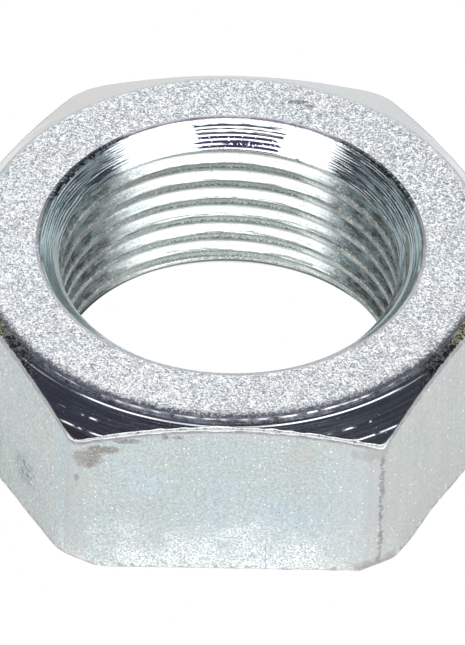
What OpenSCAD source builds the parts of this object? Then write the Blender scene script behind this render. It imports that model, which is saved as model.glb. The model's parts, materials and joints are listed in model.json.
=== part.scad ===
// Thin hex nut (jam nut), 1 1/4 inch, 12 threads per inch, right hand.
// One solid piece of plated steel. The origin is the centre of the lower
// bearing face and +Z runs up the axis of the thread. All sizes in millimetres.

/* [Hexagon] */
// Width across two opposite flats
across_flats = 47.0; // [46.1:0.1:47.6]
// Height from the lower to the upper bearing face
nut_height = 17.45; // [17.45:0.05:19.05]

/* [Corners] */
// Diameter over the rounded vertical edges
across_corners = 53.8; // [53:0.1:54.2]
// Diameter of the flat ring left on the turned upper face
upper_face_d = 44.4; // [43:0.1:46]
// Angle between the upper face and its turned chamfer
upper_chamfer_angle = 27.5; // [15:0.5:30]
// Radius that softens the line between the upper face and its chamfer
face_edge_r = 1.2; // [0.4:0.1:2]
// Diameter at which the lower corner tips are cut back at the lower face
lower_tip_d = 52.4; // [51:0.1:52.9]
// Angle between the lower face and the cut at its corner tips
lower_tip_angle = 65; // [45:1:75]

/* [Thread] */
// Major diameter, at the bottom of the thread groove
major_d = 31.75; // [31.7:0.01:31.9]
// Minor diameter, across the thread crests
minor_d = 29.9; // [29.46:0.01:29.92]
// Threads per inch
threads_per_inch = 12; // [11:1:12]
// Diameter of the countersink where it meets a face
countersink_d = 34.05; // [32.5:0.05:35]
// Direction in which the groove crosses the lower face
thread_start = 121; // [0:1:359]

/* [Hidden] */

MM_PER_INCH = 25.4;
FLANK_ANGLE = 30;           // half of the 60 degree thread angle
ROOT_FLAT_SHARE = 1 / 8;    // root flat as a share of the pitch
GROOVE_STEPS = 48;          // straight lengths in one turn of the groove
CLEAR = 0.5;                // how far cutting tools run past the surface they cut
ARC_STEPS = 6;              // points along the small arc between face and chamfer
ROUND_STEPS = 96;           // facets of a previewed circle

hexagon_r = across_flats / 2 / cos(30);
major_r = major_d / 2;
minor_r = minor_d / 2;
countersink_r = countersink_d / 2;
countersink_depth = countersink_r - minor_r;    // 90 degree countersink
pitch = MM_PER_INCH / threads_per_inch;

// Half width of the thread groove at a given radius
function groove_half_width(r) = pitch * ROOT_FLAT_SHARE / 2 + (major_r - r) * tan(FLANK_ANGLE);

// Section of the groove: two points inside the open bore and two at the root
groove_inner_r = minor_r - CLEAR;
groove_section = [
    [groove_inner_r, -groove_half_width(groove_inner_r)],
    [major_r, -groove_half_width(major_r)],
    [major_r, groove_half_width(major_r)],
    [groove_inner_r, groove_half_width(groove_inner_r)]
];

// The groove starts below the lower face and ends above the upper one
groove_start_turn = -1;
groove_end_turn = ceil(nut_height / pitch) + 1;
groove_rings = (groove_end_turn - groove_start_turn) * GROOVE_STEPS;

// One ring of groove corners, placed along the helix
function groove_ring(i) =
    let (turn = groove_start_turn + i / GROOVE_STEPS, a = thread_start + 360 * turn)
    [for (p = groove_section) [p[0] * cos(a), p[0] * sin(a), p[1] + pitch * turn]];

// Two triangles joining side j of ring i to the same side of the next ring
function groove_side(i, j, n) =
    let (k = (j + 1) % n, a = i * n, b = (i + 1) * n)
    [[a + j, b + k, b + j], [a + j, a + k, b + k]];

// Solid that cuts the right-hand thread groove out of the bore wall
module thread_groove() {
    n = len(groove_section);
    points = [for (i = [0 : groove_rings]) each groove_ring(i)];
    sides = [for (i = [0 : groove_rings - 1]) for (j = [0 : n - 1]) each groove_side(i, j, n)];
    first_cap = [[0, 2, 1], [0, 3, 2]];
    last = groove_rings * n;
    last_cap = [[last, last + 1, last + 2], [last, last + 2, last + 3]];
    polyhedron(points, concat(first_cap, sides, last_cap));
}

// Outline points of the upper face's rim, from its flat ring round a small arc to
// where the sloping chamfer starts
function upper_rim() =
    let (centre_r = upper_face_d / 2 - face_edge_r * tan(upper_chamfer_angle / 2))
    [for (i = [ARC_STEPS : -1 : 0])
        let (a = upper_chamfer_angle * i / ARC_STEPS)
        [centre_r + face_edge_r * sin(a), nut_height - face_edge_r * (1 - cos(a))]];

// Turned blank: what the upper chamfer, the rounded edges and the cut tips leave
module turned_blank() {
    outer_r = across_corners / 2;
    upper_drop = (outer_r - upper_face_d / 2) * tan(upper_chamfer_angle);
    lower_rise = (outer_r - lower_tip_d / 2) * tan(lower_tip_angle);
    rotate_extrude($fn = ROUND_STEPS)
        polygon(concat(
            [[0, 0], [lower_tip_d / 2, 0], [outer_r, lower_rise], [outer_r, nut_height - upper_drop]],
            upper_rim(),
            [[0, nut_height]]
        ));
}

// Straight bore at the minor diameter with a countersink at each end
module bore_tool() {
    translate([0, 0, -CLEAR])
        cylinder(r = minor_r, h = nut_height + 2 * CLEAR, $fn = ROUND_STEPS);
    translate([0, 0, -CLEAR])
        cylinder(r1 = countersink_r + CLEAR, r2 = minor_r, h = countersink_depth + CLEAR, $fn = ROUND_STEPS);
    translate([0, 0, nut_height - countersink_depth])
        cylinder(r1 = minor_r, r2 = countersink_r + CLEAR, h = countersink_depth + CLEAR, $fn = ROUND_STEPS);
}

// The nut: a hexagon with its upper corners turned down to a broad chamfer and only
// the tips of its lower corners cut back, bored, countersunk and threaded.
// Two of its flats face -Y and +Y.
module hex_nut() {
    color("gainsboro")
    difference() {
        intersection() {
            cylinder(r = hexagon_r, h = nut_height, $fn = 6);
            turned_blank();
        }
        bore_tool();
        thread_groove();
    }
}

hex_nut();
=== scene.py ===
"""Looks for the thin hex nut: a fine mesh of the nut, its plated metal, the floor, light and camera.

Lengths in the nut's own maths are millimetres; meshes, lights and the camera are in metres.
"""

import json
import math
from functools import reduce

import bmesh
import bpy
import numpy as np
from mathutils import Matrix, Vector


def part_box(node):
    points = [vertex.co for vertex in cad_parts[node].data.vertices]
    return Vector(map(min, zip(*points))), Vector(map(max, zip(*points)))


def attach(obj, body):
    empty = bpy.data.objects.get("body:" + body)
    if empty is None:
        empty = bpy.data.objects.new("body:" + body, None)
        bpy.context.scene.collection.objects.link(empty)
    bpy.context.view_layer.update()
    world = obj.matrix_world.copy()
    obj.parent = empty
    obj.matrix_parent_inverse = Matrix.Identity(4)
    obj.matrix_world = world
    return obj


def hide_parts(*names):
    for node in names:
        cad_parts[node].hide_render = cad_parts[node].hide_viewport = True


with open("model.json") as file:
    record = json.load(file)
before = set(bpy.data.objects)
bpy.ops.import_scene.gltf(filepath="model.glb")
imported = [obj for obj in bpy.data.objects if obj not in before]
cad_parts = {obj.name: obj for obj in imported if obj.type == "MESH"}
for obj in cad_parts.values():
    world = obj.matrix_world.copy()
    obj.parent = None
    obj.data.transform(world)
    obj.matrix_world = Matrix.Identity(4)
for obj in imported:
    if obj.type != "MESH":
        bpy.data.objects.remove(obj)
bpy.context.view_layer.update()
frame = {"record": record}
MM = 0.001
NODE = "hex_nut"

# ---------------- driving sizes, in millimetres
low_corner, high_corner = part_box(NODE)
thread_mount = next(m for m in frame["record"]["mounts"] if m["name"] == "thread")
ACROSS_FLATS = (high_corner.y - low_corner.y) / MM
HEIGHT = (high_corner.z - low_corner.z) / MM
MINOR_R = thread_mount["dims"]["r_mm"]
MAJOR_R = 31.75 / 2
PITCH = 25.4 / 12
THREAD_START = math.radians(121)  # where the groove crosses the lower face
COUNTERSINK_R = 34.05 / 2  # 90 degree countersink, at the face
UPPER_FACE_R = 44.4 / 2
CHAMFER = math.radians(27.5)
FACE_EDGE_R = 2.0  # softens the line between upper face and chamfer
ARC_START_R = UPPER_FACE_R - FACE_EDGE_R * math.tan(CHAMFER / 2)  # where that rounding starts
# The lower corner tips are cut back to these radii and at these angles, corner by corner
LOWER_TIP_R = np.array([26.2, 26.2, 26.2, 26.2, 25.95, 26.15])
LOWER_TIP_TAN = np.tan(np.radians([65, 65, 65, 65, 60, 50]))
RIM_R = 0.38  # rounding between face and countersink
BURR = 0.20  # width of the burr between chamfer and flat
LOWER_EDGE_R = 0.18  # rounding between flat and lower face
# Rounding of the six vertical edges, which the forging left uneven. Corner 0 lies on +X.
CORNER_ROUND = np.array([2.4, 2.6, 3.8, 2.6, 1.5, 0.7])
TIP_BLEND = np.array([0.3, 0.3, 0.3, 0.3, 0.45, 0.12])  # how softly flats and cut tips meet
FLANK_TAN = math.tan(math.radians(30))

THREAD_FREE_DEPTH = COUNTERSINK_R - MAJOR_R  # the countersink above this depth meets no thread
THREAD_LOW = THREAD_FREE_DEPTH
THREAD_HIGH = HEIGHT - THREAD_FREE_DEPTH

# Regions of the surface, each with its own material
FACE, CHAMFER_BAND, FLAT, LOWER_TIPS, COUNTERSINK, THREAD, BURRED = range(7)
ROUNDED = 10  # added to a region where the surface is a rounded edge

# One pitch of thread, as offsets up from the middle of the groove and radii: root, down-facing
# flank, crest with its upper edge broken, up-facing flank
ROOT_HALF = PITCH / 16
CREST_HALF_GAP = ROOT_HALF + (MAJOR_R - MINOR_R) * FLANK_TAN
BREAK = 0.03
CREST_END = PITCH - CREST_HALF_GAP - 0.22  # where the broken edge of the crest starts
EDGE_END = CREST_END + 0.17  # where it runs into the up-facing flank
EDGE_END_R = MINOR_R + 0.14
UPPER_ROOT = PITCH - 0.02  # where the up-facing flank meets the root


def flank_radius(gap):
    """Radius of a down-facing flank at this distance from the middle of the groove."""
    return MAJOR_R - (gap - ROOT_HALF) / FLANK_TAN


def upper_flank_radius(up):
    """Radius of an up-facing flank at this offset up from the middle of the groove below."""
    return EDGE_END_R + (MAJOR_R - EDGE_END_R) * (up - EDGE_END) / (UPPER_ROOT - EDGE_END)


PROFILE = [
    (0.0, MAJOR_R),
    (ROOT_HALF * 0.8, MAJOR_R - 0.004),
    (ROOT_HALF + 0.05, MAJOR_R - 0.075),
    (CREST_HALF_GAP * 0.62, flank_radius(CREST_HALF_GAP * 0.62)),
    (CREST_HALF_GAP - BREAK, flank_radius(CREST_HALF_GAP - BREAK)),
    (CREST_HALF_GAP + BREAK, MINOR_R),
    (PITCH / 2, MINOR_R),
    (CREST_END - BREAK, MINOR_R),
    (CREST_END + BREAK, MINOR_R + 0.015),
    (EDGE_END, EDGE_END_R),
    (EDGE_END + 0.25, upper_flank_radius(EDGE_END + 0.25)),
    (UPPER_ROOT - 0.06, upper_flank_radius(UPPER_ROOT - 0.06)),
    (UPPER_ROOT, MAJOR_R - 0.004),
]
PROFILE_Z = np.array([p[0] for p in PROFILE] + [PITCH])
PROFILE_R = np.array([p[1] for p in PROFILE] + [MAJOR_R])
ROWS_PER_PITCH = len(PROFILE)

# Tool marks cut round the upper chamfer: radius, depth, and how broken up each one is
CHAMFER_MARKS = [(22.66, 0.036, 1.5), (23.28, 0.050, 0.2), (25.80, 0.036, 0.9), (24.70, 0.030, 1.9)]
MARK_WALL = 0.09  # width of a mark's steep outer wall
MARK_RETURN = 0.05  # width of its way back
# Tool marks cut round the countersinks: depth below the face, depth of the mark and its width
SINK_MARKS = [(0.36, 0.12, 0.18), (0.66, 0.06, 0.09), (0.86, 0.12, 0.18)]
SINK_MARK_WALL = 0.03


# ---------------- shape of the nut
def around(theta, cells, seed):
    """Smooth random value from -1 to 1 that repeats after one turn."""
    values = np.random.RandomState(seed).uniform(-1, 1, cells)
    at = np.mod(theta / (2 * math.pi), 1.0) * cells
    low = np.floor(at).astype(int)
    share = at - low
    share = share * share * (3 - 2 * share)
    return values[low % cells] * (1 - share) + values[(low + 1) % cells] * share


def soft_min(a, b, blend):
    """Smaller of two values, rounded off where they are within blend of each other."""
    share = np.clip(0.5 + 0.5 * (b - a) / blend, 0, 1)
    return b * (1 - share) + a * share - blend * share * (1 - share)


def near_angle(theta, middle, half, soft):
    """1 within half of this direction, falling to 0 over soft, all in degrees."""
    away = np.abs(np.mod(np.degrees(theta) - middle + 180, 360) - 180)
    return np.clip((half + soft - away) / soft, 0, 1)


def column_angles():
    """Angles of the mesh's columns: even, with extra ones on the rounded corners."""
    even = np.arange(0.0, 360.0, 5 / 6)
    near = [0.2, 0.4, 0.62, 1.1]
    extra = [60 * k + side * d for k in range(6) for d in near for side in (-1, 1)]
    return np.radians(np.unique(np.round(np.mod(np.concatenate([even, extra]), 360), 4)))


def nearest_corner(theta):
    """Number of the nearest corner. Corners lie at 0, 60, 120 degrees and so on."""
    return np.mod(np.round(theta / (math.pi / 3)).astype(int), 6)


def hex_radius(theta):
    """Radius of the hexagon with rounded corners."""
    half = ACROSS_FLATS / 2
    round_r = CORNER_ROUND[nearest_corner(theta)]
    to_corner = np.mod(theta + math.pi / 6, math.pi / 3) - math.pi / 6
    flat = half / np.cos(math.pi / 6 - np.abs(to_corner))
    centre = (half - round_r) / math.cos(math.pi / 6)
    under = round_r**2 - (centre * np.sin(to_corner)) ** 2
    arc = centre * np.cos(to_corner) + np.sqrt(np.maximum(under, 0))
    arc_half = math.pi / 6 - np.arctan2(centre * 0.5, half)
    return np.where(np.abs(to_corner) < arc_half, arc, flat)


def lower_flare(theta, z):
    """How far the forging pushed the flats out near the lower face, more beside the front corners."""
    left = 0.13 * near_angle(theta, -150, 22, 12)
    right = 0.34 * near_angle(theta, -51.5, 2.5, 8)
    return left * np.clip(1 - z / 5, 0, 1) + right * np.clip(1 - z / 3.2, 0, 1)


def chamfer_height(r, theta, marked=True):
    """Height of the upper face's small arc and chamfer at radius r, with the tool marks."""
    arc_width = FACE_EDGE_R * math.sin(CHAMFER)
    arc = FACE_EDGE_R - np.sqrt(FACE_EDGE_R**2 - np.clip(r - ARC_START_R, 0, arc_width) ** 2)
    drop = np.where(r < ARC_START_R + arc_width, arc, (r - UPPER_FACE_R) * math.tan(CHAMFER))
    for i, (mark_r, depth, broken) in enumerate(CHAMFER_MARKS if marked else ()):
        wander = 1 - broken * (0.5 + 0.5 * around(theta, 360, 11 + i))
        wander = np.clip(wander, 0, 1) * (0.10 + 0.90 * near_angle(theta, -92, 36, 14))
        wall = np.clip((r - mark_r) / MARK_WALL, 0, 1)
        back = np.clip(1 - (r - mark_r - MARK_WALL) / MARK_RETURN, 0, 1)
        drop = drop + depth * wander * np.minimum(wall, back)
    return HEIGHT - drop


def cone_radius(z):
    """Radius of the countersink that is nearer to this height."""
    return np.maximum(COUNTERSINK_R - z, COUNTERSINK_R - (HEIGHT - z))


def thread_radius(z, theta):
    """Radius of the thread's own profile."""
    up = np.mod(z - PITCH * (theta - THREAD_START) / (2 * math.pi), PITCH)
    return np.interp(up, PROFILE_Z, PROFILE_R)


def sink_stations():
    """Depths down the countersink, each with how far it stands back into the metal."""
    stations = [(THREAD_FREE_DEPTH, 0.0)]
    for depth, mark, width in SINK_MARKS:
        wall_end = depth + SINK_MARK_WALL
        stations += [(depth, 0.0), (wall_end, mark), (wall_end + width, 0.0)]
    return sorted(stations)


def outer_rows(theta):
    """Rows of (radius, height, region) from the upper countersink over the outside to the lower one."""
    one = np.ones_like(theta)
    hex_r = hex_radius(theta)
    burr = BURR * (1 + 0.35 * around(theta, 300, 3) + 0.30 * around(theta, 120, 4))
    burr = burr * (0.40 + 0.60 * near_angle(theta, -90, 30.5, 2))
    rows = []

    def add(r, z, region):
        rows.append((r * one, z * one, region))

    def rim(height, down, angles):
        """Rounded edge between a countersink and the face at this height."""
        middle = COUNTERSINK_R + RIM_R * math.tan(math.pi / 8)
        chip = 0.05 * around(theta, 216, 5) + 0.03 * around(theta, 110, 6)
        for a in angles:
            add(middle - RIM_R * math.sin(a) + chip * math.sin(4 * a),
                height - down * RIM_R * (1 - math.cos(a)), COUNTERSINK + ROUNDED)

    def arc_angles(steps, end):
        return [end * k / steps for k in range(steps + 1)]

    # upper countersink, from where the thread ends up to the rim, then the face
    for depth, mark in sorted(sink_stations(), reverse=True):
        back = mark * (0.85 + 0.3 * around(theta, 200, 40 + int(depth * 100)))
        back = back * (0.12 + 0.88 * near_angle(theta, 88.0, 11.6 + 1.2 * around(theta, 60, 9), 4))
        add(COUNTERSINK_R - depth + back * 0.7, HEIGHT - depth - back * 0.7, COUNTERSINK)
    rim(HEIGHT, 1, arc_angles(4, math.pi / 4)[::-1])
    for r in np.linspace(COUNTERSINK_R + 0.3, ARC_START_R - 0.15, 5):
        add(r, HEIGHT, FACE)
    # upper chamfer: small arc, slope and tool marks, cut off where the burr starts
    for k in range(6):
        r = ARC_START_R + FACE_EDGE_R * math.sin(CHAMFER * k / 5)
        add(r, chamfer_height(r, theta, False), (FACE if k < 5 else CHAMFER_BAND) + ROUNDED)
    marks = [23.9, 24.6, 25.3]
    for mark_r, _, _ in CHAMFER_MARKS:
        marks += [mark_r, mark_r + MARK_WALL, mark_r + MARK_WALL + MARK_RETURN]
    burr_start = hex_r - burr * 0.9
    for r in sorted(marks):
        clipped = np.minimum(r, burr_start - 0.05)
        add(clipped, chamfer_height(clipped, theta), CHAMFER_BAND)
    add(burr_start - 0.04, chamfer_height(burr_start - 0.04, theta, False), CHAMFER_BAND)
    # burr between chamfer and flat: a narrow facet with softened edges, standing slightly proud
    sharp_z = HEIGHT - (hex_r - UPPER_FACE_R) * math.tan(CHAMFER)
    top_z = chamfer_height(burr_start, theta, False)
    add(burr_start, top_z, BURRED + ROUNDED)
    add(burr_start + burr * 0.15, top_z + burr * 0.02, BURRED + ROUNDED)
    add(hex_r + burr * 0.14, sharp_z - burr * 0.72, BURRED + ROUNDED)
    add(hex_r + burr * 0.16, sharp_z - burr * 0.95, FLAT + ROUNDED)
    add(hex_r, sharp_z - burr * 1.35, FLAT)
    # flat, blending into the cut tips, down to the rounded lower edge
    flat_top = sharp_z - burr * 1.35
    corner = nearest_corner(theta)
    for share in (0.15, 0.35, 0.55, 0.75, 1.0):
        z = flat_top + (4.2 - flat_top) * share
        add(hex_r + lower_flare(theta, z), z, FLAT)
    for z in (3.4, 2.8, 2.3, 1.9, 1.5, 1.1, 0.75, 0.45, LOWER_EDGE_R):
        tip = LOWER_TIP_R[corner] + z / LOWER_TIP_TAN[corner]
        lower_r = soft_min(hex_r + lower_flare(theta, z), tip, TIP_BLEND[corner])
        add(lower_r, z, FLAT if z > LOWER_EDGE_R else LOWER_TIPS)
    nick = 0.03 * around(theta, 300, 8) * (1 + 1.5 * near_angle(theta, -75, 12, 4))
    for a in arc_angles(4, math.pi / 2)[1:]:
        inset = LOWER_EDGE_R * (1 - math.cos(a)) + nick * math.sin(2 * a)
        region = LOWER_TIPS + ROUNDED if a < math.pi / 2 else FACE
        add(lower_r - inset, LOWER_EDGE_R * (1 - math.sin(a)), region)
    # lower face, its rim and the lower countersink up to where the thread starts
    for r in (22.8, 21.0, 19.2, COUNTERSINK_R + 0.3):
        add(r, 0.0, FACE)
    rim(0.0, -1, arc_angles(3, math.pi / 4))
    for depth in (0.3, 0.6, 0.9, THREAD_FREE_DEPTH):
        add(COUNTERSINK_R - depth, depth, COUNTERSINK)
    return rows


def thread_rows(theta):
    """Rows that follow the helix, from one pitch below the threaded length to its upper end."""
    lead = PITCH * theta / (2 * math.pi)
    first_centre = PITCH * (math.floor(THREAD_LOW / PITCH) - 1) - PITCH * THREAD_START / (2 * math.pi)
    while first_centre > THREAD_LOW - PITCH:
        first_centre -= PITCH
    turns = int(math.ceil((THREAD_HIGH - first_centre) / PITCH)) + 1
    heights = []
    for turn in range(turns):
        for up, _ in PROFILE:
            heights.append(np.clip(first_centre + PITCH * turn + up + lead, THREAD_LOW, THREAD_HIGH))
    z = np.array(heights)
    angles = np.broadcast_to(theta, z.shape)
    # Move the row nearest to each crossing of thread and countersink onto the crossing
    gap = thread_radius(z, angles) - cone_radius(z)
    for j in range(len(theta)):
        cross = np.nonzero((gap[:-1, j] > 0) != (gap[1:, j] > 0))[0]
        for k in cross:
            if z[k + 1, j] - z[k, j] < 1e-9:
                continue
            fine = np.linspace(z[k, j], z[k + 1, j], 33)
            fine_gap = thread_radius(fine, theta[j]) - cone_radius(fine)
            at = int(np.nonzero((fine_gap[:-1] > 0) != (fine_gap[1:] > 0))[0][0])
            share = fine_gap[at] / (fine_gap[at] - fine_gap[at + 1])
            height = fine[at] + (fine[at + 1] - fine[at]) * share
            near = k if height - z[k, j] < z[k + 1, j] - height else k + 1
            if THREAD_LOW < z[near, j] < THREAD_HIGH:
                z[near, j] = height
    r = np.maximum(thread_radius(z, angles), cone_radius(z))
    return r, z


def nut_surface():
    """Vertices in millimetres, faces and the region of each face."""
    theta = column_angles()
    columns = len(theta)
    outer_r, outer_z, regions = zip(*outer_rows(theta))
    thread_r, thread_z = thread_rows(theta)
    n_outer, n_thread = len(outer_r), len(thread_r)
    r = np.vstack([np.array(outer_r), thread_r])
    z = np.vstack([np.array(outer_z), thread_z])
    points = np.stack([r * np.cos(theta), r * np.sin(theta), z], -1).reshape(-1, 3)

    quads, quad_regions = [], []
    column = np.arange(columns)
    beside = (column + 1) % columns

    def strip(row, next_row, row_beside, next_beside, region):
        quads.append(np.stack([row * columns + column, next_row * columns + column,
                               next_beside * columns + beside, row_beside * columns + beside], 1))
        quad_regions.extend([region] * columns)

    for row in range(n_outer - 1):
        full = np.full(columns, row)
        strip(full, full + 1, full, full + 1, regions[row])
    # At the seam a thread row meets the row one pitch further up
    seam = (beside == 0) * ROWS_PER_PITCH
    for k in range(n_thread - 1):
        row = np.full(columns, n_outer + k)
        last = n_outer + n_thread - 1
        strip(row, row + 1, np.minimum(row + seam, last), np.minimum(row + 1 + seam, last), THREAD)
    quads = np.concatenate(quads)
    quad_regions = np.array(quad_regions)

    # Weld points that coincide, where rows are cut off by a flat or by the end of the thread
    keys = np.round(points * 1e5).astype(np.int64)
    _, first, index = np.unique(keys, axis=0, return_index=True, return_inverse=True)
    points = points[first]
    quads = index.reshape(-1)[quads]
    faces, face_regions = [], []
    for quad, region in zip(quads.tolist(), quad_regions.tolist()):
        corners = list(dict.fromkeys(quad))
        if len(corners) >= 3:
            faces.append(corners)
            face_regions.append(region)
    return points, faces, face_regions


def mark_sharp_edges(mesh, regions):
    """Tool marks keep crisp edges, rounded edges stay smooth, the rest goes by a coarse angle."""
    shape = bmesh.new()
    shape.from_mesh(mesh)
    shape.faces.ensure_lookup_table()
    crisp = {CHAMFER_BAND, COUNTERSINK}
    for face in shape.faces:
        face.smooth = True
    for edge in shape.edges:
        sides = [int(regions[face.index]) for face in edge.link_faces]
        if any(side >= ROUNDED for side in sides):
            limit = 50
        elif set(sides) <= crisp:
            limit = 7
        else:
            limit = 32
        edge.smooth = edge.calc_face_angle(0.0) < math.radians(limit)
    shape.to_mesh(mesh)
    shape.free()


def new_object(name, data):
    """Object that is linked to the scene."""
    made = bpy.data.objects.new(name, data)
    bpy.context.scene.collection.objects.link(made)
    return made


def build_nut(materials):
    points, faces, regions = nut_surface()
    mesh = bpy.data.meshes.new("nut_surface")
    mesh.from_pydata((points * MM).tolist(), [], faces)
    for material in materials:
        mesh.materials.append(material)
    regions = np.array(regions)
    mesh.polygons.foreach_set("material_index", regions % ROUNDED)
    mark_sharp_edges(mesh, regions)
    nut = new_object("plated_nut", mesh)
    weigh = nut.modifiers.new("flat_faces_stay_flat", "WEIGHTED_NORMAL")
    weigh.keep_sharp = True
    return nut


# ---------------- shader helper
NOISE_LOW, NOISE_HIGH = 0.3, 0.7  # noise textures seldom leave this range
WHITE = (1.0, 1.0, 1.0)


class Nodes:
    """Adds and links shader nodes. Values may be numbers, tuples or sockets."""

    def __init__(self, tree):
        self.tree = tree

    def add(self, kind, settings=None, **inputs):
        node = self.tree.nodes.new(kind)
        for name, value in (settings or {}).items():
            setattr(node, name, value)
        for name, value in inputs.items():
            self.set(node, name.replace("_", " "), value)
        return node

    def set(self, node, name, value):
        socket = node.inputs[int(name)] if name.isdigit() else node.inputs[name]
        if isinstance(value, bpy.types.NodeSocket):
            self.tree.links.new(value, socket)
        else:
            socket.default_value = value

    def math(self, operation, *values):
        node = self.tree.nodes.new("ShaderNodeMath")
        node.operation = operation
        for i, value in enumerate(values):
            self.set(node, str(i), value)
        return node.outputs[0]

    def times(self, *values):
        return reduce(lambda a, b: self.math("MULTIPLY", a, b), values)

    def plus(self, *values):
        return reduce(lambda a, b: self.math("ADD", a, b), values)

    def minus(self, a, b):
        return self.math("SUBTRACT", a, b)

    def absolute(self, value):
        return self.math("ABSOLUTE", value)

    def larger(self, a, b):
        return self.math("MAXIMUM", a, b)

    def smaller(self, a, b):
        return self.math("MINIMUM", a, b)

    def ramp(self, value, low, high, to_low=0.0, to_high=1.0):
        """Maps low..high smoothly to to_low..to_high and holds the ends. low may be above high."""
        node = self.add("ShaderNodeMapRange", {"interpolation_type": "SMOOTHSTEP"}, Value=value)
        names = ("From Min", "From Max", "To Min", "To Max")
        for name, end in zip(names, (low, high, to_low, to_high)):
            self.set(node, name, end)
        return node.outputs[0]

    def swing(self, grain, low, high):
        """Spreads a noise's usual range over low..high."""
        return self.ramp(grain, NOISE_LOW, NOISE_HIGH, low, high)

    def window(self, value, low, high, soft):
        """1 between low and high, falling to 0 over soft on both sides."""
        return self.times(self.ramp(value, low - soft, low), self.ramp(value, high + soft, high))

    def vector(self, x, y, z):
        return self.add("ShaderNodeCombineXYZ", X=x, Y=y, Z=z).outputs[0]

    def noise(self, vector, scale, detail=2.0, roughness=0.5, distortion=0.0):
        node = self.add("ShaderNodeTexNoise", Vector=vector, Scale=scale, Detail=detail,
                        Roughness=roughness, Distortion=distortion)
        return node.outputs["Fac"]

    def mix(self, factor, a, b):
        """Colour from a to b."""
        node = self.add("ShaderNodeMix", {"data_type": "RGBA"})
        self.set(node, "0", factor)
        self.set(node, "6", (*a, 1) if isinstance(a, tuple) else a)
        self.set(node, "7", (*b, 1) if isinstance(b, tuple) else b)
        return node.outputs[2]

    def two_tone(self, grain, low_colour, high_colour):
        """One colour where a noise is low, another where it is high."""
        return self.mix(self.ramp(grain, 0.35, 0.65), low_colour, high_colour)

    def over(self, colour, top, *shares):
        """Colour with another laid over it, as far as the product of the shares says."""
        return self.mix(self.times(*shares), colour, top)

    def shade(self, colour, factor):
        """Colour made lighter or darker, or any other vector times a number."""
        node = self.add("ShaderNodeVectorMath", {"operation": "SCALE"})
        self.set(node, "0", colour)
        self.set(node, "Scale", factor)
        return node.outputs[0]

    def bump(self, height, strength, distance, normal=None):
        node = self.add("ShaderNodeBump", Height=height, Strength=strength, Distance=distance * MM)
        if normal is not None:
            self.set(node, "Normal", normal)
        return node.outputs[0]


class Plating(Nodes):
    """A metal material whose nodes know where they are on the nut, in millimetres."""

    def __init__(self, name):
        self.material = bpy.data.materials.new(name)
        self.material.use_nodes = True
        super().__init__(self.material.node_tree)
        self.shader = self.tree.nodes["Principled BSDF"]
        self.shader.inputs["Metallic"].default_value = 1.0
        where = self.add("ShaderNodeTexCoord").outputs["Object"]
        self.place = self.shade(where, 1 / MM)
        self.x, self.y, self.z = self.add("ShaderNodeSeparateXYZ", Vector=self.place).outputs
        self.r = self.math("SQRT", self.plus(self.times(self.x, self.x), self.times(self.y, self.y)))
        along_x, along_y = self.absolute(self.x), self.absolute(self.y)
        slanted = self.plus(self.times(along_x, math.cos(math.pi / 6)), self.times(along_y, 0.5))
        self.inside = self.minus(ACROSS_FLATS / 2, self.larger(along_y, slanted))
        self.cos = self.math("DIVIDE", self.x, self.r)
        self.sin = self.math("DIVIDE", self.y, self.r)

    def grain(self, scale, detail=2.0, roughness=0.5, distortion=0.0):
        """Noise of this many cells to the millimetre."""
        return self.noise(self.place, scale, detail, roughness, distortion)

    def streaks(self, across, along_scale, across_scale, detail=2.0, roughness=0.5):
        """Noise drawn out round the axis. across is the coordinate that crosses the streaks."""
        turned = self.vector(self.times(self.cos, along_scale), self.times(self.sin, along_scale),
                             self.times(across, across_scale))
        return self.noise(turned, 1.0, detail, roughness)

    def worms(self, scale, width, distortion=0.4, shift=0.0):
        """Thin winding lines, 1 on the line. shift picks another set of lines."""
        at = self.vector(self.plus(self.x, shift), self.y, self.z)
        from_line = self.absolute(self.minus(self.noise(at, scale, 1.5, 0.5, distortion), 0.5))
        return self.ramp(from_line, width, 0.0)

    def spot(self, centre, half, soft=0.5, ragged=0.0):
        """1 inside an ellipsoid about centre, falling to 0 outside it. ragged moves its outline."""
        parts = [self.math("DIVIDE", self.minus(axis, middle), size)
                 for axis, middle, size in zip((self.x, self.y, self.z), centre, half)]
        total = self.plus(*[self.times(part, part) for part in parts], ragged)
        return self.ramp(total, 1 + soft, 1 - soft)

    def lay(self, top, *shares):
        """Lays a colour over the material's own, as far as the product of the shares says."""
        self.colour = self.over(self.colour, top, *shares)

    def finish(self, roughness, normal):
        for name, value in (("Base Color", self.colour), ("Roughness", roughness), ("Normal", normal)):
            self.set(self.shader, name, value)
        return self.material


# ---------------- materials
# Places of single marks, in millimetres
DENTS = [  # upper face: x, y, half width along x and y
    (5.9, 19.25, 0.85, 0.26), (6.9, 18.7, 0.5, 0.2), (15.9, 14.9, 0.16, 0.2), (20.7, 6.4, 0.2, 0.22),
    (5.2, 20.1, 0.3, 0.08), (-15.8, -12.2, 0.3, 0.1), (3.0, -19.4, 0.12, 0.3),
]
SMUDGES = [  # front flat: x, z, half width along x and z
    (-12.3, 13.1, 1.35, 1.05), (-11.0, 14.1, 1.5, 0.50), (-8.9, 15.15, 1.3, 0.30),
    (-5.5, 15.7, 0.3, 0.24), (-4.5, 15.65, 0.5, 0.2), (-13.2, 10.6, 0.25, 0.4),
]
FRONT_Y = -ACROSS_FLATS / 2
SCRATCH_X = 3.495  # short upright scratch low on the front flat
EDGE_LINE_X = 13.50  # dark line down the right front edge
LIT_BAND_END_R = 23.25  # outer end of the duller band round the upper face, painted lighter at the front


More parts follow.
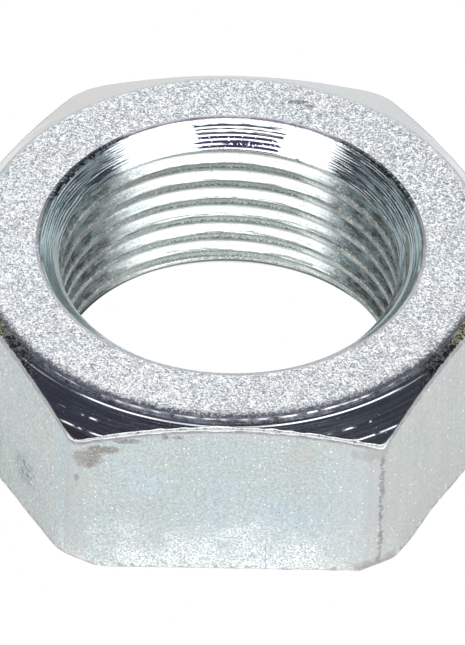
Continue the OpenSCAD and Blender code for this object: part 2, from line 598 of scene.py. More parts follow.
def zinc_face():
    """Sparkling matt grain of the two bearing faces, smoother at both edges."""
    m = Plating("zinc_face")
    fine = m.grain(5.6, 1.5, 0.6)
    coarse = m.grain(2.2, 2.0, 0.6)
    lines = m.worms(2.6, 0.14, 1.0)
    inner = m.ramp(m.plus(m.r, m.times(fine, 0.3)), COUNTERSINK_R + 0.25, COUNTERSINK_R + 0.45)
    edge_noise = m.plus(m.swing(fine, -0.16, 0.16), m.swing(coarse, -0.10, 0.10))
    from_edge = m.plus(m.minus(UPPER_FACE_R, m.r), edge_noise)
    outer = m.ramp(from_edge, -0.30, 0.15)
    rough_zone = m.times(inner, outer)
    gaps = m.worms(3.2, 0.09, 1.0, 50.0)
    sparkle = m.plus(m.times(lines, 1.05), m.ramp(fine, 0.46, 0.58, -0.25, 0.32), m.times(gaps, -0.5))
    sparkle = m.times(m.plus(sparkle, m.ramp(coarse, 0.35, 0.65, -0.15, 0.15)), rough_zone)
    blue = m.ramp(m.grain(0.22), 0.35, 0.65)
    blue = m.times(blue, m.ramp(m.y, -20.0, 12.0, 0.4, 1.2))
    m.colour = m.mix(blue, (0.478, 0.492, 0.510), (0.442, 0.502, 0.545))
    # painted light and shade: the face is lighter towards the left and the front
    m.colour = m.shade(m.colour, m.ramp(m.x, 18.0, -8.0, 0.94, 1.05))
    m.colour = m.shade(m.colour, m.ramp(m.y, 18.0, -12.0, 0.95, 1.07))
    # painted shade along the outer edge of the face, dark at the front
    front = m.ramp(m.sin, -0.1, -0.5)
    rim_painted_shade = m.mix(front, (0.50, 0.53, 0.55), (0.24, 0.25, 0.29))
    m.lay(rim_painted_shade, m.ramp(from_edge, 0.12, -0.22))
    pits = m.ramp(fine, 0.45, 0.36)
    m.lay((0.25, 0.29, 0.325), gaps, rough_zone, 0.60)
    m.lay((0.20, 0.235, 0.285), pits, rough_zone)
    m.lay(WHITE, sparkle)
    # dents drawn as dark marks: painted shade in the dents
    dents = 0.0
    for x, y, half_x, half_y in DENTS:
        dents = m.larger(dents, m.spot((x, y, HEIGHT), (half_x, half_y, 1)))
    m.lay((0.12, 0.10, 0.12), dents, m.ramp(fine, 0.35, 0.6, 0.3, 0.9))
    roughness = m.swing(coarse, 0.28, 0.42)
    normal = m.bump(m.plus(fine, m.times(lines, 0.3)), 0.6, 0.05)
    return m.finish(roughness, normal)


def zinc_turned_chamfer():
    """Bright turned surface that mirrors its surroundings, with fine rings, and pits painted lighter as
    their glints.
    """
    m = Plating("zinc_turned_chamfer")
    rings = m.streaks(m.r, 4.0, 9.0, 3.0, 0.6)
    hair = m.streaks(m.r, 9.0, 26.0, 1.0)
    speck = m.grain(5.0, 2.0, 0.6)
    mottle = m.grain(1.5, 3.0, 0.65)
    drift = m.streaks(m.r, 3.0, 1.6)
    pits = m.ramp(m.plus(m.times(speck, 0.7), m.times(mottle, 0.3)), 0.60, 0.68)
    m.colour = m.mix(m.ramp(rings, 0.38, 0.62), (0.42, 0.38, 0.37), (0.50, 0.54, 0.66))
    m.lay((0.43, 0.47, 0.58), m.ramp(drift, 0.45, 0.62))
    # painted light: lighter towards the right
    m.lay((0.53, 0.57, 0.56), m.ramp(m.x, 2.0, 9.0), 0.65)
    # painted shade: the front half of the chamfer is darker than the rear half
    front = m.ramp(m.y, -12.0, -16.0)
    rear = m.mix(m.ramp(m.x, -6.0, 6.0), (0.565, 0.550, 0.540), (0.545, 0.565, 0.565))
    rear = m.over(rear, (0.50, 0.54, 0.555), m.ramp(m.r, UPPER_FACE_R + 1.0, UPPER_FACE_R + 0.4))
    # painted shade: a dark outline along the rear edges
    rear_edge_shade = m.times(m.ramp(m.inside, 0.22, 0.10), m.ramp(m.sin, 0.0, 0.3))
    rear = m.over(rear, (0.30, 0.29, 0.29), rear_edge_shade, 0.7)
    # painted reflection where the chamfer runs out at both sides: a light band with dark winding
    # streaks
    side_reflection_zone = m.times(m.window(m.absolute(m.x), 18.0, 20.5, 2.2), m.ramp(m.y, -5.0, -7.5))
    dark_reflection_streaks = m.times(side_reflection_zone, m.ramp(m.grain(2.4, 2.0, 0.6, 1.5), 0.47, 0.53))
    m.colour = m.mix(front, rear, m.colour)
    m.lay((0.80, 0.82, 0.80), side_reflection_zone)
    # duller band beside the upper face at the front, painted lighter: painted light
    front_painted_light_band = m.times(m.ramp(m.r, LIT_BAND_END_R, LIT_BAND_END_R - 0.3), m.ramp(m.sin, -0.4, -0.6),
                   m.ramp(mottle, 0.3, 0.6, 0.35, 1.0))
    m.lay((0.62, 0.65, 0.70), front_painted_light_band)
    # pits painted lighter: painted glints
    m.lay((0.78, 0.84, 0.92), pits, 0.55)
    m.lay((0.05, 0.05, 0.06), dark_reflection_streaks, 0.92)
    roughness = m.plus(m.swing(rings, 0.08, 0.20), m.times(pits, 0.10), m.times(front_painted_light_band, 0.14))
    normal = m.bump(m.plus(m.times(rings, 0.6), m.times(hair, 0.4)), 0.26, 0.02)
    normal = m.bump(speck, 0.08, 0.03, normal)
    return m.finish(roughness, normal)


def bright_burr():
    """Burnished metal along the edge between chamfer and flats, painted near white as a highlight and
    greyer on the side flats.
    """
    m = Plating("bright_burr")
    speck = m.grain(3.0, 2.0, 0.6)
    m.colour = m.mix(m.ramp(speck, 0.30, 0.38), (0.50, 0.48, 0.52), WHITE)
    m.lay((0.42, 0.43, 0.44), m.ramp(m.absolute(m.x), 13.6, 14.4))
    return m.finish(m.swing(speck, 0.16, 0.30), m.bump(speck, 0.3, 0.04))


def zinc_flat():
    """Satin wrench flats: soft colour drift, sparkles, drawn streaks, smudges and worn edges."""
    m = Plating("zinc_flat")
    fine = m.grain(5.4, 2.0, 0.6)
    mid = m.grain(1.6, 3.0, 0.6)
    grit = m.grain(3.4, 2.0, 0.7)
    front = m.ramp(m.y, -20.5, -22.5)
    right = m.ramp(m.x, 6.0, 12.0)
    drift = m.grain(0.16)
    drift_b = m.noise(m.vector(m.plus(m.x, 31.0), m.y, m.z), 0.22)
    blue = m.mix(front, (0.565, 0.605, 0.600), (0.535, 0.610, 0.640))
    m.colour = m.mix(m.ramp(drift, 0.38, 0.62), (0.535, 0.590, 0.580), blue)
    # painted shade: the side flats a little darker
    left, right_side = m.ramp(m.x, -13.5, -14.5), m.ramp(m.x, 13.5, 14.5)
    m.colour = m.shade(m.colour, m.plus(1.0, m.times(left, -0.04), m.times(right_side, -0.06)))
    m.lay((0.590, 0.600, 0.575), m.ramp(drift_b, 0.50, 0.70, 0.0, 0.35))
    # painted reflection low down on the front flat, in a crystal grain
    patch = m.grain(0.45)
    middle = m.window(m.x, -7.5, 7.0, 4.0)
    low = m.ramp(m.plus(m.z, m.times(mid, 3.0), m.times(patch, 9.0)), 12.5, 5.2)
    low_painted_sheen = m.times(low, front, m.plus(0.45, m.times(middle, 0.55)))
    worms = m.plus(m.worms(2.2, 0.13, 1.1), m.ramp(fine, 0.50, 0.58, -0.1, 0.5))
    m.lay(WHITE, low_painted_sheen, m.plus(0.08, m.times(worms, 0.95)))
    gaps = m.times(low_painted_sheen, m.ramp(fine, 0.45, 0.38))
    m.lay((0.44, 0.50, 0.51), gaps, 0.6)
    # even grain all over, and streaks drawn up and down the flat on the right
    grain = m.plus(m.ramp(fine, 0.32, 0.68, -0.12, 0.12), m.swing(mid, -0.05, 0.05),
                   m.ramp(grit, 0.34, 0.66, -0.10, 0.10))
    drawn = m.noise(m.vector(m.times(m.x, 2.2), m.times(m.y, 2.2), m.times(m.z, 0.12)), 1.0, 3.0, 0.6)
    drawn = m.times(m.swing(drawn, -0.05, 0.05), m.plus(0.2, m.times(right, 0.8)))
    m.colour = m.shade(m.colour, m.plus(1.0, grain, drawn))
    m.lay((0.60, 0.60, 0.585), right, 0.4)
    # sparse sparkles and dark pits
    dots = m.add("ShaderNodeTexVoronoi", Vector=m.place, Scale=2.1)
    pick = m.add("ShaderNodeSeparateColor", Color=dots.outputs["Color"]).outputs
    near = m.ramp(m.math("DIVIDE", dots.outputs["Distance"], m.plus(0.4, pick[1])), 0.19, 0.11)
    m.lay(WHITE, near, m.ramp(pick[0], 0.52, 0.62))
    pit_dots = m.add("ShaderNodeTexVoronoi", Vector=m.place, Scale=1.3)
    pit_pick = m.add("ShaderNodeSeparateColor", Color=pit_dots.outputs["Color"]).outputs
    pit = m.times(m.ramp(pit_dots.outputs["Distance"], 0.12, 0.06), m.ramp(pit_pick[0], 0.66, 0.74))
    m.lay((0.18, 0.18, 0.19), pit, 0.6)
    # smudges near the top of the front flat, rubbed marks on the flat to its left
    ragged = m.swing(m.grain(1.3, 4.0, 0.7), -0.55, 0.55)
    smudge = 0.0
    for x, z, half_x, half_z in SMUDGES:
        smudge = m.larger(smudge, m.spot((x, FRONT_Y, z), (half_x, 1, half_z), 0.5, ragged))
    blotch = m.ramp(m.grain(3.4, 3.0, 0.7), 0.40, 0.54, 0.30, 0.95)
    m.lay((0.29, 0.265, 0.25), smudge, blotch)
    warm = m.times(m.spot((6.6, FRONT_Y, 13.8), (1.3, 1, 1.6)), m.ramp(drawn, -0.004, 0.004, 0.2, 0.8))
    m.lay((0.58, 0.53, 0.47), warm, 0.5)
    rubbed = m.larger(m.spot((-17.8, -16.3, 4.7), (1.2, 2.0, 1.5), 0.9),
                    m.times(m.spot((-21.0, -11.0, 4.5), (1.4, 2.4, 2.6), 0.8), 0.45))
    # strokes that slant down towards the front corner
    level = m.plus(m.times(m.x, 0.5), m.times(m.y, -math.cos(math.pi / 6)))
    across, along = m.times(m.plus(level, m.z), 3.0), m.times(m.minus(level, m.z), 1.1)
    strokes = m.noise(m.vector(across, along, 0.0), 1.0, 3.0)
    rub = m.times(rubbed, m.ramp(strokes, 0.47, 0.57))
    m.lay((0.19, 0.21, 0.22), rub, 0.80)
    scratch = m.window(m.x, SCRATCH_X - 0.025, SCRATCH_X + 0.025, 0.05)
    scratch = m.times(scratch, m.ramp(m.z, 4.2, 3.6), front)
    m.lay((0.30, 0.32, 0.33), scratch, m.ramp(mid, 0.35, 0.55, 0.2, 0.75))
    # beige grain on the vertical edges, a dark jagged line down the right one, painted shade under the
    # burr, and darker towards the lower edge
    edge = m.ramp(m.plus(m.r, m.swing(mid, -0.12, 0.12)), 26.30, 26.75)
    m.lay((0.50, 0.465, 0.45), edge, m.ramp(grit, 0.40, 0.58, 0.05, 0.42))
    wander = m.swing(m.noise(m.vector(0.0, 0.0, m.z), 0.9, 3.0, 0.7), -0.20, 0.20)
    from_edge = m.absolute(m.minus(m.x, m.plus(EDGE_LINE_X, wander)))
    half_width = m.ramp(m.noise(m.vector(7.0, 0.0, m.z), 1.2, 3.0, 0.6), 0.35, 0.60, 0.0, 0.20)
    teeth = m.times(m.ramp(m.minus(from_edge, half_width), 0.06, -0.04), m.ramp(m.y, -22.2, -22.8))
    teeth = m.times(teeth, m.ramp(grit, 0.34, 0.60, 0.35, 1.0))
    m.lay((0.25, 0.235, 0.24), teeth, 0.80)
    # painted shade under the burr
    slope = m.times(m.minus(m.r, UPPER_FACE_R), math.tan(CHAMFER))
    under = m.minus(HEIGHT, m.plus(m.z, slope))
    shade_below_burr = m.times(m.ramp(under, 0.62, 0.36), m.ramp(mid, 0.35, 0.55, 0.35, 0.9))
    m.lay((0.34, 0.31, 0.34), shade_below_burr)
    bottom = m.times(m.ramp(m.z, 0.75, 0.3), m.ramp(m.grain(2.1, 2.0, 0.6), 0.5, 0.62))
    m.lay((0.30, 0.29, 0.28), bottom, 0.6)
    cut_tip = m.spot((13.3, -22.9, 0.2), (2.1, 2.1, 1.3), 0.4, m.swing(mid, -0.3, 0.3))
    worn_top = m.spot((12.6, -23.2, 14.0), (1.6, 1.6, 0.8), 0.5, ragged)
    cut_tip = m.larger(cut_tip, m.times(worn_top, 0.6))
    m.lay((0.40, 0.375, 0.350), cut_tip, m.ramp(grit, 0.3, 0.6, 0.4, 0.9))
    roughness = m.swing(mid, 0.36, 0.5)
    normal = m.bump(fine, 0.35, 0.04)
    normal = m.bump(mid, 0.25, 0.08, normal)
    return m.finish(roughness, normal)


def bare_lower_edge():
    """Thinly plated lower edge and cut corner tips, brownish grey."""
    m = Plating("bare_lower_edge")
    fine = m.grain(3.4, 3.0, 0.65)
    m.colour = m.two_tone(fine, (0.42, 0.39, 0.36), (0.62, 0.62, 0.60))
    normal = m.bump(fine, 0.4, 0.08)
    return m.finish(m.swing(fine, 0.35, 0.5), normal)


def turned_sink(m):
    """Colours m like the turned countersinks, with fine rings and painted light, shade and reflections.
    Gives their roughness and height.
    """
    depth = m.smaller(m.minus(HEIGHT, m.z), m.z)
    rings = m.streaks(m.z, 5.0, 11.0, 3.0, 0.6)
    speck = m.grain(6.5, 1.0)
    wobble = m.swing(m.streaks(m.z, 3.0, 2.0), -0.05, 0.05)
    wave = m.math("PINGPONG", m.plus(depth, wobble), 0.085)
    breaks = m.streaks(m.z, 3.5, 5.0, 2.0, 0.6)
    rear = m.ramp(m.sin, 0.78, 0.86)
    side = m.times(m.ramp(m.sin, -0.1, 0.15), m.ramp(m.sin, 0.86, 0.78))
    inner_start = m.ramp(m.x, -5.0, 5.0, 1.20, 0.78)
    inner = m.ramp(m.minus(m.plus(depth, wobble), inner_start), 0.0, 0.10)
    inner = m.times(inner, m.ramp(m.sin, 0.35, 0.05))
    m.colour = m.two_tone(rings, (0.56, 0.70, 0.72), (0.74, 0.86, 0.88))
    # painted light: lighter on the left, darker on the right
    m.colour = m.shade(m.colour, m.ramp(m.x, -13.0, 13.0, 1.15, 0.94))
    # painted light: a whitish band deeper down at the front and sides
    m.lay(m.two_tone(rings, (0.72, 0.82, 0.87), (0.98, 1.0, 1.0)), inner)
    # painted highlight: lighter towards the rear, near white at the rear
    m.lay((0.66, 0.73, 0.77), m.ramp(m.sin, 0.30, 0.55), m.ramp(m.sin, 0.86, 0.80))
    # painted reflection: dark patches at the sides
    blotch = m.streaks(m.z, 4.0, 3.2, 3.0, 0.65)
    m.lay((0.10, 0.12, 0.15), side, m.ramp(m.sin, 0.15, 0.4), m.ramp(blotch, 0.49, 0.58), 0.85)
    m.lay((0.90, 0.93, 0.95), rear)
    # painted reflection of the turned rings at the sides: dark and white lines
    dark = m.times(m.ramp(wave, 0.040, 0.020), m.ramp(breaks, 0.40, 0.50), side)
    light = m.times(m.ramp(wave, 0.052, 0.070), m.ramp(breaks, 0.46, 0.58), side)
    m.lay((0.04, 0.06, 0.09), dark, 0.9)
    m.lay(WHITE, light, 0.9)
    m.lay((0.92, 0.96, 1.0), m.ramp(speck, 0.62, 0.72, 0.0, 0.6))
    roughness = m.plus(m.swing(rings, 0.10, 0.20), m.times(light, 0.3), m.times(inner, 0.34))
    height = m.plus(m.times(rings, 0.4), m.times(wave, 4.0))
    return roughness, height


def zinc_countersink():
    """Countersinks above the thread, with a duller rim painted dark as painted shade."""
    m = Plating("zinc_countersink")
    roughness, height = turned_sink(m)
    speck = m.grain(4.0)
    rear = m.ramp(m.sin, 0.80, 0.88)
    # the rim's painted shade is wider at both sides of the rear, in patches
    thick = m.times(m.window(m.sin, 0.40, 0.66, 0.12), m.ramp(m.x, 0.0, 8.0, 1.0, 0.45),
                    m.ramp(m.grain(2.0, 3.0), 0.42, 0.58, 0.0, 0.20))
    depth = m.plus(m.smaller(m.minus(HEIGHT, m.z), m.z), m.swing(speck, -0.05, 0.05))
    rim = m.ramp(m.minus(depth, thick), 0.17, 0.10)
    rim_shade = m.mix(rear, (0.10, 0.105, 0.125), (0.48, 0.46, 0.52))
    rim_shade = m.over(rim_shade, (0.04, 0.045, 0.055), m.ramp(thick, 0.0, 0.05))
    rim_shade = m.over(rim_shade, (0.27, 0.275, 0.30), m.ramp(m.sin, 0.40, 0.15))
    rim_shade = m.over(rim_shade, (0.42, 0.42, 0.45), m.ramp(m.sin, 0.1, -0.3))
    m.lay(rim_shade, rim, m.ramp(speck, 0.34, 0.50, 0.6, 1.0))
    roughness = m.plus(roughness, m.times(rim, 0.20))
    return m.finish(roughness, m.bump(height, 0.5, 0.03))


def zinc_thread():
    """Threads: bright flanks and grey crests painted as lit and shaded copies of the metal, with
    mottled painted shade away from the rear.
    """
    m = Plating("zinc_thread")
    turn = m.math("DIVIDE", m.math("ARCTAN2", m.y, m.x), 2 * math.pi)
    along = m.minus(m.z, m.times(turn, PITCH))
    drawn = m.streaks(along, 5.0, 9.0, 3.0, 0.65)
    hair = m.streaks(m.z, 14.0, 26.0, 1.0)
    speck = m.grain(5.0, 2.0, 0.65)
    mottle = m.streaks(along, 11.0, 2.4, 4.0, 0.7)
    phase = m.minus(m.plus(m.math("DIVIDE", m.z, PITCH), THREAD_START / (2 * math.pi)), turn)
    edge_noise = m.ramp(speck, 0.32, 0.68, -0.11, 0.11)
    up = m.plus(m.times(m.math("FRACT", phase), PITCH), edge_noise)
    # how far round from the rear: the bright part ends gradually on the left, abruptly on the right
    aside = m.ramp(m.sin, m.ramp(m.x, -2.0, 2.0, 1.0, 0.86), m.ramp(m.x, -2.0, 2.0, 0.55, 0.76))
    # painted light in a band on the right
    right_lit_band = m.window(m.x, 8.9, 10.8, 1.2)

    # the flanks' bright colour is painted light; the mottled dark colour away from the rear is painted
    # shade
    flank = m.two_tone(hair, (0.80, 0.86, 0.855), (0.90, 0.96, 0.95))
    painted_side_shade = m.mix(m.ramp(mottle, 0.40, 0.60), (0.165, 0.17, 0.165), (0.34, 0.43, 0.45))
    beside = m.times(m.ramp(up, 1.90, 1.50), m.ramp(m.absolute(m.x), 1.8, 5.2))
    flank = m.over(flank, (0.40, 0.45, 0.46), beside, m.ramp(drawn, 0.46, 0.51), 0.80)
    blend = m.plus(m.times(drawn, 0.7), m.times(mottle, 0.3), m.times(right_lit_band, -0.16))
    blend = m.ramp(blend, 0.60, 0.44)
    blend = m.times(blend, m.plus(0.10, m.times(aside, 0.90)))
    flank = m.over(flank, painted_side_shade, blend)
    # the crests' grey is painted shade, made lighter further down and on their upper part by painted
    # light
    crest_light = m.two_tone(speck, (0.35, 0.40, 0.395), (0.485, 0.55, 0.54))
    crest_light = m.shade(crest_light, m.ramp(m.z, 12.5, 6.5, 0.90, 1.30))
    lit_crest_shift = m.plus(m.ramp(m.z, 3.0, 14.0, 0.16, -0.12), m.swing(drawn, -0.07, 0.07))
    high = m.ramp(m.minus(up, lit_crest_shift), PITCH / 2, PITCH / 2 + 0.06)
    crest_light = m.over(crest_light, (0.58, 0.63, 0.62), high, 0.4)
    lit_low = m.ramp(m.plus(up, edge_noise), CREST_HALF_GAP + 0.42, CREST_HALF_GAP + 0.32)
    lit_low = m.times(m.window(m.x, 6.9, 8.8, 1.2), lit_low)
    crest_light = m.over(crest_light, (0.93, 1.0, 0.98), lit_low)
    # painted shade on the crests away from the rear
    crest_side_shade = m.mix(m.ramp(mottle, 0.42, 0.58), (0.20, 0.215, 0.205), (0.33, 0.37, 0.365))
    crest_side_shade = m.shade(crest_side_shade, m.plus(1.0, m.times(right_lit_band, 0.55)))
    crest_colour = m.mix(aside, crest_light, crest_side_shade)
    on_crest = m.ramp(m.r, MINOR_R + 0.03, MINOR_R + 0.01)
    m.colour = m.mix(on_crest, flank, crest_colour)
    # painted shadow: dark line along the crests' lower edge
    crest_edge_shadow = m.window(up, CREST_HALF_GAP - 0.02, CREST_HALF_GAP + 0.10, 0.05)
    crest_edge_shadow = m.times(crest_edge_shadow, m.window(m.x, -6.0, 5.5, 2.0))
    m.lay((0.14, 0.165, 0.16), crest_edge_shadow, on_crest, 0.9)
    # painted shade on the broken upper edge of the crests, wider further down
    ragged = m.ramp(drawn, 0.35, 0.65, -0.18, 0.16)
    edge_shade_width = m.plus(m.ramp(m.z, 4.0, 13.0, 0.15, 0.02), ragged, edge_noise)
    edge_shade = m.ramp(m.minus(up, edge_shade_width), CREST_END + 0.04, CREST_END)
    edge_shade = m.times(edge_shade, m.ramp(up, CREST_END - 0.02, CREST_END + 0.02))
    edge_colour = m.two_tone(speck, (0.20, 0.225, 0.22), (0.29, 0.32, 0.315))
    m.lay(edge_colour, edge_shade, m.ramp(aside, 0.0, 1.0, 0.95, 0.3))
    upper_edge = m.window(up, CREST_END - 0.03, EDGE_END - 0.05, 0.04)
    lit = m.times(m.plus(0.1, m.times(aside, 0.75)), m.ramp(mottle, 0.36, 0.52, 0.2, 1.0))
    m.lay((0.90, 0.89, 0.85), upper_edge, lit)
    # painted shade on the flanks near the root
    root_shade = m.times(m.ramp(m.r, MAJOR_R - 0.32, MAJOR_R - 0.12), m.ramp(speck, 0.35, 0.6, 0.55, 1.0))
    m.lay((0.37, 0.375, 0.325), root_shade)
    m.lay((0.95, 0.97, 0.97), m.ramp(speck, 0.62, 0.70, 0.0, 0.7))
    m.lay((0.22, 0.23, 0.22), m.ramp(speck, 0.40, 0.32, 0.0, 0.5))
    # lip above the lower countersink: grey, with a painted highlight line at the rear and a dark
    # outline of painted shade
    to_sink = m.plus(m.r, m.z, -COUNTERSINK_R)
    lip_width = m.ramp(m.x, -9.0, 0.0, 0.52, 0.40)
    lip = m.ramp(m.minus(m.plus(to_sink, edge_noise), lip_width), 0.04, -0.04)
    lip_colour = m.mix(m.ramp(drawn, 0.4, 0.6), (0.30, 0.32, 0.30), (0.42, 0.45, 0.43))
    m.lay(lip_colour, lip, 0.9)
    shine = m.window(m.plus(to_sink, edge_noise), 0.40, 0.50, 0.05)
    shine = m.times(shine, m.window(m.x, -7.0, 6.0, 2.0))
    m.lay(WHITE, shine, m.ramp(drawn, 0.35, 0.55, 0.4, 1.0))
    m.lay((0.13, 0.14, 0.135), m.ramp(to_sink, 0.24, 0.14))
    roughness = m.plus(m.swing(hair, 0.30, 0.42), m.times(aside, -0.06))
    height = m.plus(m.times(drawn, 0.5), m.times(hair, 0.3), m.times(speck, 0.5))

    # the countersink reaches down between the first turns: same turned rings as above
    off_cone = m.absolute(m.plus(m.r, m.times(m.z, -1.0), HEIGHT - COUNTERSINK_R))
    cone = m.times(m.ramp(off_cone, 0.035, 0.015), m.ramp(m.z, HEIGHT - 2.3, HEIGHT - 2.1))
    thread_colour = m.colour
    sink_roughness, sink_height = turned_sink(m)
    m.colour = m.mix(cone, thread_colour, m.colour)
    # grey line where the countersink breaks off at the first turn
    break_off = m.minus(up, m.plus(ROOT_HALF, m.times(m.minus(MAJOR_R, m.r), FLANK_TAN)))
    line = m.times(m.ramp(break_off, 0.24, 0.15), cone, m.ramp(m.sin, 0.2, 0.5),
                   m.ramp(speck, 0.3, 0.45, 0.6, 1.0))
    m.lay((0.27, 0.33, 0.34), line, 0.9)
    # painted reflection: dark rings on the rear of the countersink, with a dark patch along one
    groove = m.math("PINGPONG", m.minus(m.z, HEIGHT - 1.26), 0.145)
    off_middle = m.absolute(m.plus(m.x, -0.45, m.swing(drawn, -0.5, 0.5)))
    rear = m.times(m.ramp(off_middle, 3.9, 3.5), m.ramp(m.y, 0.0, 1.0), cone, m.ramp(speck, 0.30, 0.38))
    ring_patch = m.spot((0.9, 15.6, HEIGHT - 1.62), (2.0, 1.5, 0.20))
    lines = m.larger(m.ramp(groove, 0.105, 0.075), m.times(ring_patch, m.ramp(speck, 0.40, 0.46)))
    m.lay((0.025, 0.025, 0.06), rear, lines)
    off = m.ramp(cone, 0.0, 1.0, 1.0, 0.0)
    roughness = m.plus(m.times(roughness, off), m.times(sink_roughness, cone))
    height = m.plus(m.times(height, off), m.times(sink_height, cone, 0.6))
    return m.finish(roughness, m.bump(height, 0.5, 0.05))


def nut_materials():
    """In the order of the regions."""
    return [zinc_face(), zinc_turned_chamfer(), zinc_flat(), bare_lower_edge(), zinc_countersink(),
            zinc_thread(), bright_burr()]


# ---------------- studio
FRONT_CENTRE = 1.7  # brightness of the front softboxes: middle and both sides
FRONT_SIDES = 2.6
BACK_BOX = 1.2
HORIZON = 0.35
REAR_GLOW = 0.75
WARM_PATCH = 0.45
WARM_DIRECTION = (0.62, 0.46, 0.63)  # towards the warm patch on either side
SIDE_FILL = 0.12
ROOM = 0.25
CEILING = 0.085
FLOOR_SIZE = 3.0
FLOOR_BASE = 0.70
FLOOR_GLOW = 0.51
SHADE_START, SHADE_END = -12, -30  # the floor darkens between these, in millimetres along Y
REAR_SHADE = 0.82
BACKDROP_RADIUS = 20.0


def stage_material(name, base, glow, for_camera):
    """Matt, faintly glowing surface for light and reflections, plain white for the camera.

    It is a little darker from under the nut backwards.
    """
    material = bpy.data.materials.new(name)
    material.use_nodes = True
    m = Nodes(material.node_tree)
    matt = m.tree.nodes["Principled BSDF"]
    where = m.add("ShaderNodeTexCoord").outputs["Object"]
    y = m.add("ShaderNodeSeparateXYZ", Vector=where).outputs[1]
    lit_front = m.ramp(y, SHADE_START * MM, SHADE_END * MM)
    m.set(matt, "Base Color", m.mix(lit_front, (base * REAR_SHADE,) * 3, (base,) * 3))
    matt.inputs["Roughness"].default_value = 0.9
    matt.inputs["Specular IOR Level"].default_value = 0.0
    matt.inputs["Emission Color"].default_value = (1, 1, 1, 1)
    matt.inputs["Emission Strength"].default_value = glow
    white = m.add("ShaderNodeEmission", Strength=for_camera)
    switch = m.add("ShaderNodeMixShader")
    m.set(switch, "0", m.add("ShaderNodeLightPath").outputs["Is Camera Ray"])
    m.set(switch, "1", matt.outputs[0])
    m.set(switch, "2", white.outputs[0])
    m.set(m.tree.nodes["Material Output"], "Surface", switch.outputs[0])
    return material


def build_floor():
    """Plain pale floor that gives its light back to the flats."""
    mesh = bpy.data.meshes.new("floor")
    sides = ((-1, -1), (1, -1), (1, 1), (-1, 1))
    corners = [(FLOOR_SIZE * sx, FLOOR_SIZE * sy, 0) for sx, sy in sides]
    mesh.from_pydata(corners, [], [(0, 1, 2, 3)])
    mesh.materials.append(stage_material("pale_floor", FLOOR_BASE, FLOOR_GLOW, 1.0))
    floor = new_object("floor", mesh)


def build_backdrop():
    """White surround that only the camera sees."""
    mesh = bpy.data.meshes.new("backdrop")
    shape = bmesh.new()
    bmesh.ops.create_uvsphere(shape, u_segments=48, v_segments=24, radius=BACKDROP_RADIUS)
    shape.to_mesh(mesh)
    shape.free()
    mesh.materials.append(stage_material("white_backdrop", 0.8, 0.0, 1.0))
    backdrop = new_object("backdrop", mesh)
    for ray in ("diffuse", "glossy", "transmission", "volume_scatter", "shadow"):
        setattr(backdrop, "visible_" + ray, False)


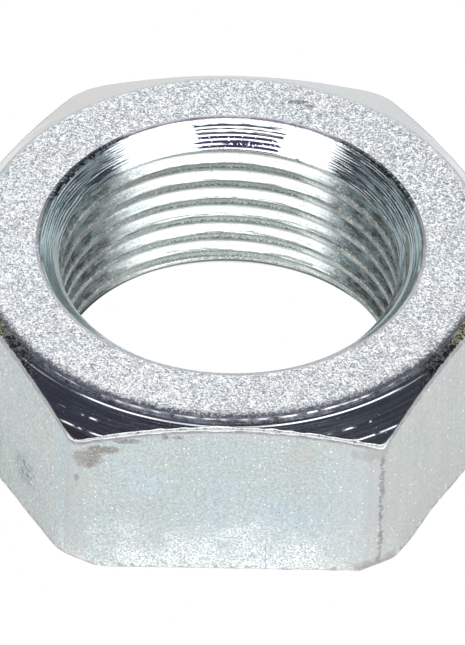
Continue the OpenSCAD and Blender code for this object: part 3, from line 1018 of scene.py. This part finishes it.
def build_world():
    """Two front softboxes with a dimmer gap between them, one at the back, a dark ceiling."""
    world = bpy.data.worlds.new("studio")
    bpy.context.scene.world = world
    world.use_nodes = True
    w = Nodes(world.node_tree)
    direction = w.add("ShaderNodeTexCoord").outputs["Generated"]
    x, y, z = w.add("ShaderNodeSeparateXYZ", Vector=direction).outputs
    side = w.absolute(x)

    # front boxes reach further back at the sides than in the middle
    edge = w.minus(y, w.times(side, 0.20))
    front_shape = w.times(w.ramp(edge, -0.27, -0.33), w.ramp(z, 0.38, 0.48),
                          w.window(x, -0.70, 0.80, 0.04))
    gap = w.window(x, -0.35, 0.21, 0.04)
    front_level = w.ramp(gap, 0.0, 1.0, FRONT_SIDES, FRONT_CENTRE)
    front = w.times(front_shape, front_level)
    back = w.times(w.ramp(y, 0.12, 0.62), w.ramp(z, 0.25, 0.40),
                   w.window(x, -0.34, 0.34, 0.2), BACK_BOX)
    rear_glow = w.times(w.ramp(y, 0.78, 0.93), REAR_GLOW)
    horizon = w.times(w.ramp(z, 0.26, 0.16), w.plus(HORIZON, rear_glow))
    room = w.ramp(z, 0.60, 0.20, 0.0, ROOM)
    # a dim warm patch on either side, mirrored in the far ends of the chamfer
    offsets = [w.minus(axis, middle) for axis, middle in zip((side, y, z), WARM_DIRECTION)]
    squares = w.plus(*[w.times(offset, offset) for offset in offsets])
    warm = w.ramp(squares, 0.020, 0.006)
    fill = w.times(w.ramp(side, 0.60, 0.80), w.window(y, -0.05, 0.30, 0.15),
                   w.ramp(z, 0.2, 0.35), SIDE_FILL)
    level = w.plus(front, back, horizon, room, fill, CEILING, w.times(warm, WARM_PATCH))
    tint = w.mix(w.ramp(z, 0.85, 0.45), (0.80, 0.86, 1.10), (0.86, 1.0, 1.02))
    bright = w.ramp(level, 0.4, 0.9)
    background = w.tree.nodes["Background"]
    w.set(background, "Color", w.mix(warm, w.mix(bright, tint, WHITE), (1.0, 0.96, 0.62)))
    w.set(background, "Strength", level)


CAMERA_ANGLES = (-0.327, 42.15, 1.25)  # azimuth, elevation and roll in degrees
CAMERA_DISTANCE = 19.663  # in widths across flats
AIM_RIGHT, AIM_DOWN = 0.274, 0.538  # off the nut's centre, in millimetres
LENS_MM, SENSOR_MM = 578.84, 36.0


def build_camera():
    """Long lens, looking down at the front flat, with the nut filling the frame."""
    azimuth, elevation, roll = (math.radians(angle) for angle in CAMERA_ANGLES)
    distance = CAMERA_DISTANCE * ACROSS_FLATS * MM
    back = Vector((math.sin(azimuth) * math.cos(elevation), -math.cos(azimuth) * math.cos(elevation),
                   math.sin(elevation)))
    level_right = Vector((math.cos(azimuth), math.sin(azimuth), 0))
    level_up = back.cross(level_right)
    right = math.cos(roll) * level_right + math.sin(roll) * level_up
    up = math.cos(roll) * level_up - math.sin(roll) * level_right
    centre = Vector((0, 0, HEIGHT / 2 * MM))
    position = centre + back * distance
    aim = centre + right * AIM_RIGHT * MM - up * AIM_DOWN * MM
    away = (position - aim).normalized()
    camera_right = up.cross(away).normalized()
    camera_up = away.cross(camera_right)
    data = bpy.data.cameras.new("camera")
    data.lens = LENS_MM
    data.sensor_width = SENSOR_MM
    camera = new_object("camera", data)
    turn = Matrix((camera_right, camera_up, away)).transposed().to_4x4()
    camera.matrix_world = Matrix.Translation(position) @ turn
    bpy.context.scene.camera = camera


def main():
    nut = build_nut(nut_materials())
    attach(nut, "root")
    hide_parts(NODE)
    build_floor()
    build_backdrop()
    build_world()
    build_camera()
    bpy.context.scene.view_settings.view_transform = "Standard"


main()
